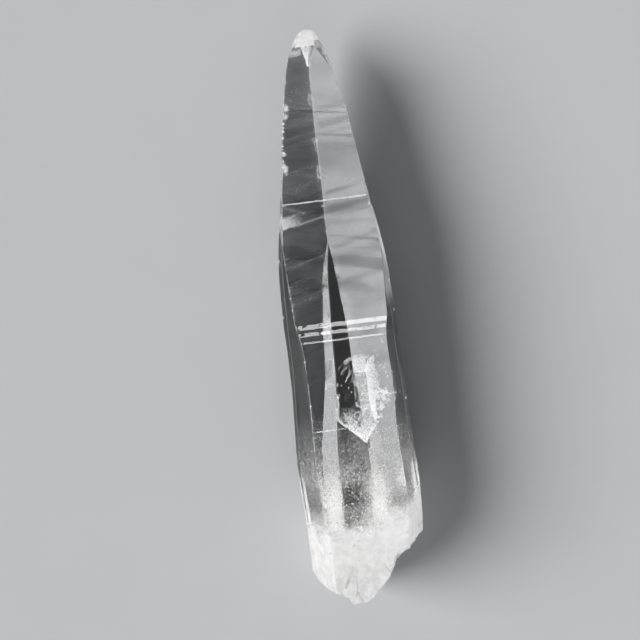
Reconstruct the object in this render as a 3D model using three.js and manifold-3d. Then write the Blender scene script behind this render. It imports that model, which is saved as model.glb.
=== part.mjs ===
// Natural quartz point: one clear, strongly tapering crystal with a broken base.
// It lies on its narrow back face, with the tip along +Y and its wide front
// face up. Millimetres, +Z up, origin under the middle of its bounding box.

import * as THREE from 'three';
import { mergeVertices } from 'three/addons/utils/BufferGeometryUtils.js';
import Module from 'manifold-3d';

// ---------------------------------------------------------------- dimensions
const TIP_T = 185.6;         // station of the tip along the crystal axis
const START_T = -14;         // the prism starts here, and the fracture trims it
const AXIS_HEIGHT = 20.7;    // crystal axis above the back face it lies on
const RHOMB_SLOPE = 0.787;   // tan 38.2 deg: prism face against rhombohedron face
const BLUNT_SLOPE = 1.55;    // the worn last millimetre of the tip
const BLUNT_OFFSET = 0.22;

// Offset of each long face from the crystal axis, [station, offset]. The front
// face falls back towards the tip in growth steps, and the two large back faces
// close in on each other until the narrow back face between them runs out.
const FRONT = [[START_T, 12.8], [93.3, 12.8], [93.9, 12.62], [95.9, 12.55],
  [96.6, 12.12], [98.1, 12.05], [98.8, 11.6], [135.6, 8.5], [136.1, 8.25],
  [181, 3.45], [186, 2.9]];
const UPPER_RIGHT = [[START_T, 16.2], [25, 16.4], [32.6, 17.4], [44, 17.9],
  [53, 17.5], [66, 17.2], [79, 17.45], [92, 17.15], [98.3, 17.4], [107, 17.45],
  [114, 17.56], [121.5, 17.1], [128.5, 16.1], [135.8, 14.45], [147.5, 12.63],
  [154.4, 11.55], [161.7, 10.4], [170, 8.41], [175.2, 7.0], [176.5, 5.4],
  [178.5, 4.1], [182, 3.0], [186, 2.4]];
const LOWER_RIGHT = [[START_T, 13.5], [32, 13.5], [44, 13.4], [53, 13.2],
  [66, 12.6], [79, 11.8], [92, 11.6], [98.3, 11.05], [107, 10.1], [114, 9.5],
  [121.5, 8.5], [128.5, 7.7], [135.8, 7.2], [147.5, 6.15], [154.4, 5.7],
  [161.7, 5.2], [170, 4.3], [175, 3.7], [179, 3.4], [186, 2.6]];
const BACK = [[START_T, 20.7], [186, 20.7]];
const LOWER_LEFT = [[START_T, 16.2], [30, 16.2], [43, 16.3], [54, 15.9],
  [62, 15.2], [77, 14.05], [90, 13.65], [98, 13.3], [107, 12.7], [114, 12.0],
  [122.5, 10.4], [135.5, 8.9], [145.4, 7.95], [157, 7.0], [165.9, 6.0],
  [173.8, 4.87], [178.5, 4.0], [186, 3.0]];
const UPPER_LEFT = [[START_T, 17.3], [22, 17.3], [36, 17.4],
  [46, 18.0], [54, 18.35], [62, 18.05], [77, 17.65], [90, 17.7], [98, 18.2],
  [107, 18.2], [114, 18.3], [122.5, 18.1], [135.5, 16.14], [145.4, 14.26],
  [157, 12.31], [165.9, 10.51], [173.8, 8.67], [178.5, 7.31], [186, 6]];

// The six long faces, anticlockwise in the section seen from the base: the
// direction of the normal (degrees from +X), the offsets, and the station
// where the face's rhombohedron face would meet the axis.
const FACES = [
  { angle: -30, offset: LOWER_RIGHT, apex: 185.6 },
  { angle: 30, offset: UPPER_RIGHT, apex: 189 },
  { angle: 90, offset: FRONT, apex: 185.6 },
  { angle: 150, offset: UPPER_LEFT, apex: 189 },
  { angle: 210, offset: LOWER_LEFT, apex: 185.6 },
  { angle: 270, offset: BACK, apex: 189 },
];

// Broken base: station of the fracture across the width (BASE_X, [x, station])
// and how it leans over the depth (BASE_Z, [height, change of station]).
const BASE_X = [[-30, 30], [-19.4, 16.6], [-17.3, 13.4], [-14.7, 10.3],
  [-11.1, 7.7], [-7.5, 4.5], [-2.9, 4.7], [0.3, 7.2], [4.4, 12.0], [6.7, 15.4],
  [7.6, 18.2], [13.2, 21.9], [14.6, 23.8], [17.0, 25.7], [30, 36]];
const BASE_Z = [[-10, 0.4], [0, -1.2], [8, -2.6], [14, -3.0], [24, 0], [33.5, 3.6],
  [44, 8]];
const BASE_CELLS = [22, 12]; // facets of the fracture across x and z

// Small conchoidal chips along the upper left edge: station, half length along
// the edge, half depth.
const CHIPS = [[163.7, 0.9, 0.55], [161.4, 1.2, 0.7], [157.2, 0.8, 0.4],
  [150.3, 0.9, 0.4], [146.4, 1.5, 0.6]];

// ------------------------------------------------------------------- helpers
function lookup(table, t) {
  if (t <= table[0][0]) return table[0][1];
  for (let i = 1; i < table.length; i++) {
    const [t1, v1] = table[i];
    if (t <= t1) {
      const [t0, v0] = table[i - 1];
      return v0 + (v1 - v0) * (t - t0) / (t1 - t0);
    }
  }
  return table[table.length - 1][1];
}

// Offset of one face at a station, with the termination taken off.
function faceOffset(face, t) {
  return Math.min(lookup(face.offset, t), (face.apex - t) * RHOMB_SLOPE,
    (TIP_T - t) * BLUNT_SLOPE + BLUNT_OFFSET);
}

// The six corners of the section at a station. Corner k ends face k; where a
// face has run out its two corners fall on the same point.
function section(t) {
  let poly = [[-90, -90, -1], [90, -90, -1], [90, 90, -1], [-90, 90, -1]];
  FACES.forEach((face, k) => {
    const a = THREE.MathUtils.degToRad(face.angle);
    const nx = Math.cos(a), nz = Math.sin(a), d = faceOffset(face, t);
    const out = [];
    for (let i = 0; i < poly.length; i++) {
      const p = poly[i], q = poly[(i + 1) % poly.length];
      const dp = p[0] * nx + p[1] * nz - d, dq = q[0] * nx + q[1] * nz - d;
      // each entry holds a corner and the face of the edge that leaves it
      if (dp <= 0) out.push(p);
      if ((dp < 0 && dq > 0) || (dp > 0 && dq < 0)) {
        const s = dp / (dp - dq);
        const c = [p[0] + (q[0] - p[0]) * s, p[1] + (q[1] - p[1]) * s];
        out.push(dp < 0 ? [c[0], c[1], k] : [c[0], c[1], p[2]]);
      }
    }
    poly = out;
  });
  const corners = new Array(FACES.length).fill(null);
  poly.forEach((p, i) => {
    const q = poly[(i + 1) % poly.length];
    if (p[2] >= 0) corners[p[2]] = new THREE.Vector2(q[0], q[1]);
  });
  for (let k = 0; k < 2 * FACES.length; k++) {
    const n = FACES.length;
    if (!corners[k % n]) corners[k % n] = corners[(k + n - 1) % n];
  }
  return corners;
}

// Skin a stack of sections into a closed crystal body.
function crystalGeometry(stations) {
  const n = FACES.length, position = [], index = [];
  for (const t of stations) {
    for (const c of section(t)) position.push(c.x, t, c.y + AXIS_HEIGHT);
  }
  const at = (r, k) => r * n + ((k + n) % n);
  for (let r = 0; r + 1 < stations.length; r++) {
    for (let k = 0; k < n; k++) {
      const a = at(r, k), b = at(r, k - 1), c = at(r + 1, k - 1), d = at(r + 1, k);
      index.push(a, b, c, a, c, d);
    }
  }
  for (let k = 1; k + 1 < n; k++) index.push(at(0, 0), at(0, k), at(0, k + 1));
  const apex = position.length / 3, last = stations.length - 1;
  position.push(0, TIP_T, AXIS_HEIGHT);
  for (let k = 0; k < n; k++) index.push(at(last, k), at(last, k - 1), apex);
  const g = new THREE.BufferGeometry();
  g.setAttribute('position', new THREE.Float32BufferAttribute(position, 3));
  g.setIndex(index);
  return g;
}

// The rock that is missing below the base: a block whose upper side is the
// fracture surface.
function fractureGeometry() {
  const [cx, cz] = BASE_CELLS;
  const g = new THREE.BoxGeometry(56, 2, 54, cx, 1, cz);
  const p = g.attributes.position;
  for (let i = 0; i < p.count; i++) {
    const x = p.getX(i), z = p.getZ(i) + 17;
    const ripple = 0.5 * Math.sin(0.55 * x + 0.31 * z) * Math.sin(0.43 * z - 0.2 * x);
    const t = p.getY(i) > 0 ? lookup(BASE_X, x) + lookup(BASE_Z, z) + ripple : -40;
    p.setXYZ(i, x, t, z);
  }
  return g;
}

// A flat, long flake broken out of the upper left edge.
function chipGeometry([t, halfLength, halfDepth]) {
  const corner = section(t)[3];
  const g = new THREE.IcosahedronGeometry(1, 0);
  g.scale(halfDepth, halfLength, halfDepth * 1.5);
  g.rotateY(0.5);
  g.translate(corner.x - halfDepth * 0.25, t, corner.y + AXIS_HEIGHT);
  return g;
}

const wasm = await Module();
wasm.setup();

function toSolid(geometry) {
  let g = geometry.clone();
  g.deleteAttribute('normal');
  g.deleteAttribute('uv');
  g = mergeVertices(g, 1e-3);
  const src = g.index.array, tri = [];
  for (let i = 0; i < src.length; i += 3) {
    const [a, b, c] = [src[i], src[i + 1], src[i + 2]];
    if (a !== b && b !== c && c !== a) tri.push(a, b, c);
  }
  return new wasm.Manifold(new wasm.Mesh({
    numProp: 3,
    vertProperties: new Float32Array(g.attributes.position.array),
    triVerts: new Uint32Array(tri),
  }));
}

function toGeometry(solid) {
  const m = solid.getMesh();
  const g = new THREE.BufferGeometry();
  g.setAttribute('position', new THREE.Float32BufferAttribute(m.vertProperties, 3));
  g.setIndex(Array.from(m.triVerts));
  return g;
}

// ------------------------------------------------------------------ the body
// Stations: every bend of any face, the termination, and even steps between.
const stationSet = new Set([START_T, 176, 177.4, 180, 181.25, 182.6, 183.8, 184.6, 185.2, 185.45]);
for (const face of FACES) {
  for (const [t] of face.offset) if (t > START_T && t < 182.5) stationSet.add(t);
}
for (let t = 4; t < 176; t += 6) stationSet.add(t);
const stations = [...stationSet].sort((a, b) => a - b)
  .filter((t, i, all) => i === 0 || t - all[i - 1] > 0.12);

let solid = toSolid(crystalGeometry(stations));
solid = solid.subtract(toSolid(fractureGeometry()));
for (const chip of CHIPS) solid = solid.subtract(toSolid(chipGeometry(chip)));

const body = toGeometry(solid);
body.computeBoundingBox();
const box = body.boundingBox;
body.translate(-(box.min.x + box.max.x) / 2, -(box.min.y + box.max.y) / 2, -box.min.z);
body.computeVertexNormals();

const clearQuartz = new THREE.MeshStandardMaterial({
  color: 0xe9ecee, roughness: 0.05, metalness: 0, transparent: true, opacity: 0.45,
});

const crystal = new THREE.Mesh(body, clearQuartz);
crystal.name = 'quartz_point';

const group = new THREE.Group();
group.add(crystal);

export default group;
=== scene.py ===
import math

import bmesh
import bpy
import numpy as np
from mathutils import Matrix


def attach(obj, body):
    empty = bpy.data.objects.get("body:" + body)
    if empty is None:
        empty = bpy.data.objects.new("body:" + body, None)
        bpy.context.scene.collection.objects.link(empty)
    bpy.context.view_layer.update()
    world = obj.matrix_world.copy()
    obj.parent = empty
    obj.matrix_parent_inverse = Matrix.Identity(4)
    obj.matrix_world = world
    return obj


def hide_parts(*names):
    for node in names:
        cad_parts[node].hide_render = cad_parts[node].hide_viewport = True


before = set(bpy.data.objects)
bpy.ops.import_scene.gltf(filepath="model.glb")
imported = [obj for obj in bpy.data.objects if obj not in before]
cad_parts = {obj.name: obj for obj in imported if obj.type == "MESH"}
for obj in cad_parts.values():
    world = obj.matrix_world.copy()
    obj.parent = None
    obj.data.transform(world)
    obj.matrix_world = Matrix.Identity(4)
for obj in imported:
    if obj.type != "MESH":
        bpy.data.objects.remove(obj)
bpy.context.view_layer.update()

# --------------------------------------------------------------------------
# Clear quartz point lying on its narrow back face, tip along +Y.
# Stations t run along the crystal axis in mm; x is across, z is up.
# --------------------------------------------------------------------------
MM = 0.001
X_OFF, T_MID, AXIS_Z = 0.8516, 93.6143, 20.7   # crystal frame to the part's frame
TIP_T = 186.0
RHOMB = 0.787                                  # tan 38.2 deg
rng = np.random.default_rng(20)


def to_row(x, t, z):
    """Crystal coordinates (mm) to the part's frame (m)."""
    return np.stack([(np.asarray(x) + X_OFF) * MM, (np.asarray(t) - T_MID) * MM, np.asarray(z) * MM], -1)


def smooth(a, b, v):
    s = np.clip((v - a) / (b - a), 0, 1)
    return s * s * (3 - 2 * s)


# Lattice noise, the same on every run.
_perm = np.random.default_rng(5).permutation(512)
_vals = np.random.default_rng(6).uniform(-1, 1, 512)


def _hash(i, j, k):
    a = _perm[(i & 511)]
    b = _perm[((a + j) & 511)]
    return _vals[_perm[((b + k) & 511)]]


def noise3(x, y, z):
    x, y, z = np.broadcast_arrays(*[np.asarray(v, float) for v in (x, y, z)])
    xi, yi, zi = [np.floor(v).astype(int) for v in (x, y, z)]
    fx, fy, fz = x - xi, y - yi, z - zi
    fx, fy, fz = [f * f * f * (f * (6 * f - 15) + 10) for f in (fx, fy, fz)]
    out = 0
    for a in (0, 1):
        for b in (0, 1):
            for c in (0, 1):
                w = (fx if a else 1 - fx) * (fy if b else 1 - fy) * (fz if c else 1 - fz)
                out = out + w * _hash(xi + a, yi + b, zi + c)
    return out


def fbm(x, y, z, octaves=4):
    out, amp = 0, 0.55
    for o in range(octaves):
        s = 2.03 ** o
        out = out + amp * noise3(np.asarray(x) * s + 17 * o, np.asarray(y) * s, np.asarray(z) * s - 9 * o)
        amp *= 0.52
    return out


# --------------------------------------------------------------------------
# Offsets of the six long faces from the axis, [station, offset]
# --------------------------------------------------------------------------
S0 = -14.0
FRONT = [[S0, 12.8], [93.5, 12.8], [93.95, 12.57], [95.7, 12.54], [96.7, 12.02], [97.7, 12.0],
         [99.05, 11.3], [135.55, 8.52], [135.95, 8.31], [181, 3.45], [186, 2.9]]
UPPER_RIGHT = [[S0, 16.2], [25, 16.4], [32.6, 17.4], [44, 17.9], [53, 17.5], [66, 17.2], [79, 17.45],
               [92, 17.15], [98.3, 17.4], [107, 17.25], [112, 17.3], [116, 17.2], [120, 16.95], [124, 16.55], [128.5, 16.0],
               [135.8, 14.45], [147.5, 12.63], [154.4, 11.55], [161.7, 10.4], [170, 8.35], [173, 7.25],
               [175.4, 6.45], [177.5, 5.25], [180, 3.72], [182.3, 2.9], [186, 1.7]]
LOWER_RIGHT = [[S0, 13.5], [32, 13.5], [44, 13.4], [53, 13.2], [66, 12.6], [79, 11.8], [92, 11.6],
               [98.3, 11.05], [107, 10.5], [112, 10.1], [116, 9.7], [120, 9.2], [124, 8.6], [128.5, 7.9], [135.8, 7.2],
               [147.5, 6.15], [154.4, 5.7], [161.7, 5.2], [170, 4.45], [175, 4.22], [178, 4.27], [180, 4.28], [182.3, 3.45],
               [184, 2.8], [186, 2.2]]
BACK = [[S0, 20.7], [155, 20.7], [168, 15.0], [178.4, 7.7], [182, 5.4], [186, 3.4]]
LOWER_LEFT = [[S0, 16.2], [30, 16.2], [43, 16.3], [54, 15.9], [62, 15.2], [77, 14.05], [90, 13.65],
              [98, 13.3], [107, 12.9], [112, 12.5], [116, 12.0], [120, 11.4], [124, 10.7], [128, 10.05], [135.5, 8.9], [145.4, 7.95],
              [157, 7.0], [165.9, 6.0], [173.8, 4.87], [178.5, 4.0], [186, 3.0]]
UPPER_LEFT = [[S0, 17.3], [22, 17.3], [36, 17.4], [46, 18.0], [54, 18.35], [62, 18.05], [77, 17.65],
              [90, 17.7], [98, 18.2], [107, 18.1], [112, 18.1], [116, 18.05], [120, 17.9], [124, 17.65], [128, 17.13], [135.5, 16.14],
              [145.4, 14.26], [157, 12.31], [165.9, 10.51], [173.8, 8.67], [178.5, 7.31], [186, 6]]

# Growth bands on the two large faces behind: station, half width, strength, and the side of the face
# they keep to (-1 the outer edge, 0 all of it, 1 the back edge), and how much they rise to the outer edge
LEFT_BANDS = [(174.0, 4.2, 0.55, 0), (160.6, 1.5, 0.45, 0), (156.0, 1.3, 0.85, 0), (153.3, 0.6, 0.5, 0), (147.5, 4.2, 0.32, 0),
              (135.0, 0.9, 0.5, 1), (129.7, 1.2, 0.75, 1), (126.7, 0.8, 0.4, 0), (117.2, 0.9, 0.5, 0), (112.6, 2.2, 0.55, 0),
              (105.8, 1.1, 0.55, 0), (98.5, 3.6, 0.5, 0), (88.5, 1.2, 0.5, 0), (80.0, 2.6, 0.4, 0)]
RIGHT_BANDS = [(165.0, 1.7, 0.28, 0), (162.3, 0.4, 0.45, 0), (160.5, 0.35, 0.55, 0), (158.7, 0.3, 0.25, 0), (153.5, 0.5, 0.6, 0),
               (146.8, 6.4, 0.40, 0), (132.2, 2.2, 0.6, 0, 1.75), (127.0, 1.1, 0.3, 0, 1.2), (121.8, 0.6, 0.5, 0), (118.6, 0.4, 0.25, 0), (114.0, 2.0, 0.85, 0),
               (105.8, 2.1, 0.75, 1)]

# Growth lines: where the faces step back a little, shared by neighbouring faces.
LINES = []
t = 46.0
while t < 179:
    LINES.append(t)
    t += rng.choice([1.6, 2.6, 3.8, 5.4, 7.5]) * rng.uniform(0.8, 1.2)
LINES = [t for t in LINES if min(abs(t - c) for c in (93.6, 96.3, 98.4, 135.8)) > 0.9]


def lined(table, strength, seed, share, swell, lo=44.0, hi=178.0):
    """The face's offsets with low swells and growth lines added, at close stations."""
    r = np.random.default_rng(seed)
    base = np.array(table, float)
    ts = np.unique(np.concatenate([base[:, 0], np.arange(lo, hi, 1.0)]))
    on = smooth(lo, lo + 22, ts) * smooth(hi, hi - 6, ts)
    wave = noise3(ts / 7.5, seed * 3.1, 0.5) + 0.45 * noise3(ts / 3.1, seed * 5.3, 1.5)
    ds = np.interp(ts, base[:, 0], base[:, 1]) + swell * wave * on
    knots = {float(a): float(b) for a, b in zip(ts, ds)}
    for t in LINES:
        keep, h, w = r.random(), strength * r.gamma(1.6, 0.6), r.uniform(0.25, 0.6)
        if keep > share or not lo + 4 < t < hi - 4:
            continue
        h *= float(smooth(lo, lo + 25, t))
        step = h * (smooth(t - w / 2, t + w / 2, np.array(list(knots))) - 0.5)
        fade = np.exp(-np.abs(np.array(list(knots)) - t) / 2.2)
        knots = {k: v - float(d * f) for (k, v), d, f in zip(knots.items(), step, fade)}
        for e in (t - w / 2, t + w / 2):
            ks = np.array(sorted(knots.items()))
            if np.abs(ks[:, 0] - e).min() > 0.05:
                lo_v = float(np.interp(e, ks[:, 0], ks[:, 1]))
                knots[e] = lo_v + (h * 0.25 if e < t else -h * 0.25)
    return np.array(sorted(knots.items()))


TABLES = [
    lined(LOWER_RIGHT, 0.012, 1, 0.6, 0.012),
    lined(UPPER_RIGHT, 0.03, 2, 0.5, 0.02),
    np.array(FRONT, float),
    lined(UPPER_LEFT, 0.03, 4, 0.5, 0.02),
    lined(LOWER_LEFT, 0.012, 5, 0.6, 0.012),
    np.array(BACK, float),
]
APEX = [187.6, 187.6, 186.4, 187.6, 187.6, 190]
SLOPE = [RHOMB, RHOMB, 0.69, RHOMB, RHOMB, RHOMB]

# Chips broken out of the edges: station, half length, depth
CHIPS = [(163.8, 1.0, 0.8), (161.4, 1.0, 0.7), (159.4, 0.4, 0.25), (158.2, 0.35, 0.2), (157.0, 0.45, 0.3),
         (155.2, 0.35, 0.2), (153.0, 0.4, 0.2), (150.6, 0.8, 0.5), (148.4, 0.5, 0.3), (146.0, 1.9, 0.8),
         (143.6, 0.4, 0.16), (128.0, 0.5, 0.15), (118.6, 0.6, 0.15), (101.0, 0.5, 0.12)]
NICKS = [(133.2, 0.8, 0.3), (122.0, 0.5, 0.14), (109.0, 0.6, 0.14), (99.5, 0.5, 0.14), (71.0, 0.7, 0.18)]
SPARKS = [(109.6, 0.3, 0.10), (107.6, 0.35, 0.14), (105.4, 0.25, 0.09), (103.8, 0.3, 0.12), (101.9, 0.25, 0.08),
          (118.0, 0.25, 0.07), (88.0, 0.3, 0.1), (74.0, 0.3, 0.1)]
BACK_CHIPS = [(164.6, 0.8, 0.4), (162.8, 0.4, 0.25), (151.6, 0.9, 0.35), (149.2, 0.5, 0.25),
              (142.4, 0.9, 0.45), (140.4, 0.5, 0.3), (131.0, 0.5, 0.25), (123.0, 0.6, 0.25)]


def chip_depth(chips, t):
    d = 0.0
    for c, half, depth in chips:
        u = (t - c) / half
        if abs(u) < 1.4:
            d = max(d, depth * max(0.0, 1 - abs(u) ** 1.6) * (1 + 0.5 * float(noise3(t * 3.1, c, 0.3))))
    return d


def offsets(t):
    """The twelve half-planes of a section: faces at even places, edge bevels at odd ones."""
    d = np.zeros(12)
    h = TIP_T - t
    dome = 1.2 * math.sqrt(3.2 * max(h, 0)) if h < 3.5 else 4.02 + (h - 3.5) * 2
    for k in range(6):
        v = np.interp(t, TABLES[k][:, 0], TABLES[k][:, 1])
        d[2 * k] = min(v, (APEX[k] - t) * SLOPE[k], dome)
    wear = 0.5 + 0.5 * float(noise3(t * 0.9, 3.7, 1.1))
    face = d.copy()
    for k in (2, 6, 10):        # a face that has run out leaves a thin bevel on its edge
        both = face[(k - 2) % 12] + face[(k + 2) % 12]
        cut = 0.02 + 0.03 * wear + chip_depth(BACK_CHIPS, t) if k == 10 else 0.06 + 0.08 * wear
        d[k] = min(d[k], both - min(cut, 0.3 * both))
    for k in range(1, 12, 2):
        n = float(noise3(t * 1.3, k * 7.3, 0.7))
        cut = (0.055 if k != 7 else 0.03) + 0.03 * n
        if k == 7:
            cut += chip_depth(CHIPS, t)
        if k == 5:
            cut += chip_depth(SPARKS, t) - 0.03 * float(smooth(112, 116, t))
        if k in (1, 3):
            cut += chip_depth(NICKS, t) * (1 if k == 1 else 0.3)
        both = (d[k - 1] + d[(k + 1) % 12]) / 1.7320508
        d[k] = both - min(max(cut, 0.02), 0.2 * both)
    return d


ANGLE = np.radians(np.arange(12) * 30 - 30)
NORMAL = np.stack([np.cos(ANGLE), np.sin(ANGLE)], -1)


def section(t):
    """Corner that ends each of the twelve sides at a station; a missing side has no length."""
    d = offsets(t)
    poly = [(-90., -90., -1), (90., -90., -1), (90., 90., -1), (-90., 90., -1)]
    for k in range(12):
        nx, nz = NORMAL[k]
        out = []
        for i, p in enumerate(poly):
            q = poly[(i + 1) % len(poly)]
            dp, dq = p[0] * nx + p[1] * nz - d[k], q[0] * nx + q[1] * nz - d[k]
            if dp <= 0:
                out.append(p)
            if (dp < 0 < dq) or (dq < 0 < dp):
                s = dp / (dp - dq)
                c = (p[0] + (q[0] - p[0]) * s, p[1] + (q[1] - p[1]) * s)
                out.append((*c, k) if dp < 0 else (*c, p[2]))
        poly = out
    ends = [None] * 12
    for i, p in enumerate(poly):
        if p[2] >= 0:
            q = poly[(i + 1) % len(poly)]
            ends[p[2]] = q[:2]
    for k in range(24):
        if ends[k % 12] is None:
            ends[k % 12] = ends[(k - 1) % 12]
    return np.array(ends)


stations = {S0, 0., 10., 20., 30., 40., 58.52, 58.65, 58.78, 65.50, 65.65, 65.80}
for table in TABLES:
    stations |= {float(v) for v in table[:, 0] if S0 < v < 185.5}
for chips in (CHIPS, NICKS, SPARKS, BACK_CHIPS):
    for c, half, depth in chips:
        stations |= {float(v) for v in np.linspace(c - 1.3 * half, c + 1.3 * half, 7)}
for c, half, *_ in LEFT_BANDS + RIGHT_BANDS:
    stations |= {float(c + half * v) for v in (-1.3, -0.9, 0, 0.9, 1.3)}
stations |= {float(v) for v in np.arange(40, 181, 1.5)}
stations |= {float(v) for v in np.arange(180, 185.6, 0.25)} | {185.62, 185.75, 185.86, 185.94}
order = sorted(stations)
STATIONS = np.array([v for i, v in enumerate(order) if i == 0 or v - order[i - 1] > 0.06])
OFFSETS = np.array([offsets(v) for v in STATIONS])
CORNERS = np.array([section(v) for v in STATIONS])           # station, side, (x, z from axis)

COLUMNS = [22, 2, 10, 2, 38, 2, 10, 3, 22, 2, 8, 2]
SIDE = np.concatenate([np.full(n, k) for k, n in enumerate(COLUMNS)])
PART = np.concatenate([np.arange(n) / n for n in COLUMNS])


def on_skin(t):
    """(x, z) of every column at stations t (one per column)."""
    out = np.zeros((len(SIDE), 2))
    for axis in (0, 1):
        a = np.zeros(len(SIDE))
        b = np.zeros(len(SIDE))
        for k in range(12):
            m = SIDE == k
            a[m] = np.interp(t[m], STATIONS, CORNERS[:, (k - 1) % 12, axis])
            b[m] = np.interp(t[m], STATIONS, CORNERS[:, k, axis])
        out[:, axis] = a + (b - a) * PART
    out[:, 1] += AXIS_Z
    return out


# --------------------------------------------------------------------------
# Broken base: flat-sided breaks and shell-like ripples over its main slope
# --------------------------------------------------------------------------
BASE_X = np.array([[-30, 30], [-19.4, 16.6], [-17.3, 13.4], [-14.7, 10.3], [-11.1, 7.7], [-7.5, 4.5],
                   [-2.9, 4.7], [0.3, 7.2], [4.4, 12.0], [6.7, 15.4], [7.6, 18.2], [13.2, 21.9],
                   [14.6, 23.8], [17.0, 25.7], [30, 36]], float)
BASE_Z = np.array([[-10, 0.4], [0, -1.2], [8, -2.6], [14, -3.0], [24, 0], [33.5, 3.6], [44, 8]], float)
_f = np.random.default_rng(31)
SEEDS = np.stack([_f.uniform(-21, 20, 60), _f.uniform(-1, 35, 60)], -1)
TILT = _f.normal(0, 0.17, (60, 2))
LIFT = _f.normal(0, 0.35, 60)


def base_plain(x, z):
    return np.interp(x, BASE_X[:, 0], BASE_X[:, 1]) + np.interp(z, BASE_Z[:, 0], BASE_Z[:, 1])


def base_t(x, z):
    """Station of the fracture at (x, z)."""
    x, z = np.asarray(x, float), np.asarray(z, float)
    wx, wz = x + 0.9 * noise3(x * .35, z * .35, 4.2), z + 0.9 * noise3(x * .35, z * .35, 8.8)
    dist = np.hypot(wx[..., None] - SEEDS[:, 0], wz[..., None] - SEEDS[:, 1])
    i = np.argmin(dist, -1)
    facet = TILT[i, 0] * (x - SEEDS[i, 0]) + TILT[i, 1] * (z - SEEDS[i, 1]) + LIFT[i]
    shell = 0.16 * np.sin(np.hypot(x - 16, z - 30) * 2.6 + 1.4 * noise3(x * .2, z * .2, 2.2))
    # the break is hackly: small ledges where it climbs steeply
    ledge = x + (0.45 + 0.32 * smooth(4, 9, x)) * noise3(x * 1.1, z * .5, 1.7) + (0.22 + 0.18 * smooth(4, 9, x)) * noise3(x * 2.7, z * 1.1, 6.1)
    plain = base_plain(ledge, z)
    rough = facet + shell * smooth(-4, 8, x) + 0.55 * fbm(x * .75, z * .6, 3.3, 4)
    return plain + np.where(rough > 0, rough, 0.3 * np.tanh(rough / 0.3)) + 0.1


def cloud_top(x):
    """Station where the milky lower end begins, higher on the right."""
    return 36.0 + 0.42 * np.clip(x, 0, 16) - 0.30 * np.clip(-8 - x, 0, 9)


# --------------------------------------------------------------------------
# The crystal's skin
# --------------------------------------------------------------------------
ROW_T = STATIONS[STATIONS >= 40]
LOW_ROWS = 26
ncol = len(SIDE)
edge_t = np.full(ncol, 15.0)
for _ in range(40):
    p = on_skin(edge_t)
    edge_t = 0.5 * edge_t + 0.5 * base_t(p[:, 0], p[:, 1])

grid = []
for r in range(LOW_ROWS):
    t = edge_t + (40 - edge_t) * r / LOW_ROWS
    p = on_skin(t)
    grid.append(np.column_stack([p[:, 0], t, p[:, 1]]))
for t in ROW_T:
    p = on_skin(np.full(ncol, t))
    around = np.arctan2(p[:, 1] - AXIS_Z, p[:, 0])
    behind = 0.05 + 0.40 * smooth(0.25, -0.35, np.sin(around))
    wave = behind * noise3(np.cos(around) * 1.3, t * 0.05, np.sin(around) * 1.3)
    wave = wave + 0.25 * behind * noise3(np.cos(around) * 4 + 9, t * 0.12, np.sin(around) * 4)
    wave = wave * smooth(40, 56, t) * (1 - smooth(166, 177, t))
    wave = wave + 0.10 * (SIDE == 4) * noise3(p[:, 0] * 0.9, t * 0.8, 4.4) * smooth(92.6, 93.4, t) * smooth(99.8, 99.1, t)
    # two short growth steps that cross only part of the front face
    x, front = p[:, 0], SIDE == 4
    for at, half, tail, a, b in ((65.65, 0.15, 14, -13.6, -1.2), (58.65, 0.13, 10, 3.2, 10.6)):
        drop = half * np.clip((t - at + half) / (2 * half), 0, 1) * (1 - smooth(at + .3, at + tail, t))
        p[:, 1] -= front * drop * smooth(a, a + .5, x) * smooth(b, b - 1.5, x)
    grid.append(np.column_stack([p[:, 0], t + wave, p[:, 1]]))
GRID = np.array(grid)                                         # row, column, (x, t, z)
nrow = len(GRID)

CAP_RINGS = 30
centre = np.array([-2.0, 16.0])
edge = GRID[0][:, [0, 2]]
cap = []
for r in range(1, CAP_RINGS):
    s = 1 - r / CAP_RINGS
    q = centre + (edge - centre) * s
    # the fracture meets the skin exactly at its rim
    t = base_t(q[:, 0], q[:, 1])
    cap.append(np.column_stack([q[:, 0], t, q[:, 1]]))
CAP = np.array(cap)

verts = np.concatenate([GRID.reshape(-1, 3), CAP.reshape(-1, 3),
                        [[centre[0], float(base_t(centre[0], centre[1])), centre[1]]], [[0, TIP_T, AXIS_Z]]])
cap0, hub, apex = nrow * ncol, nrow * ncol + len(CAP) * ncol, nrow * ncol + len(CAP) * ncol + 1
faces = []
for r in range(nrow - 1):
    for c in range(ncol):
        d = (c + 1) % ncol
        faces.append((r * ncol + d, r * ncol + c, (r + 1) * ncol + c, (r + 1) * ncol + d))
for c in range(ncol):
    faces.append(((nrow - 1) * ncol + (c + 1) % ncol, (nrow - 1) * ncol + c, apex))
for r in range(CAP_RINGS - 1):
    lo = 0 if r == 0 else cap0 + (r - 1) * ncol
    hi = cap0 + r * ncol
    for c in range(ncol):
        d = (c + 1) % ncol
        faces.append((lo + c, lo + d, hi + d, hi + c))
last = cap0 + (CAP_RINGS - 2) * ncol
for c in range(ncol):
    faces.append((last + c, last + (c + 1) % ncol, hub))

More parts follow.
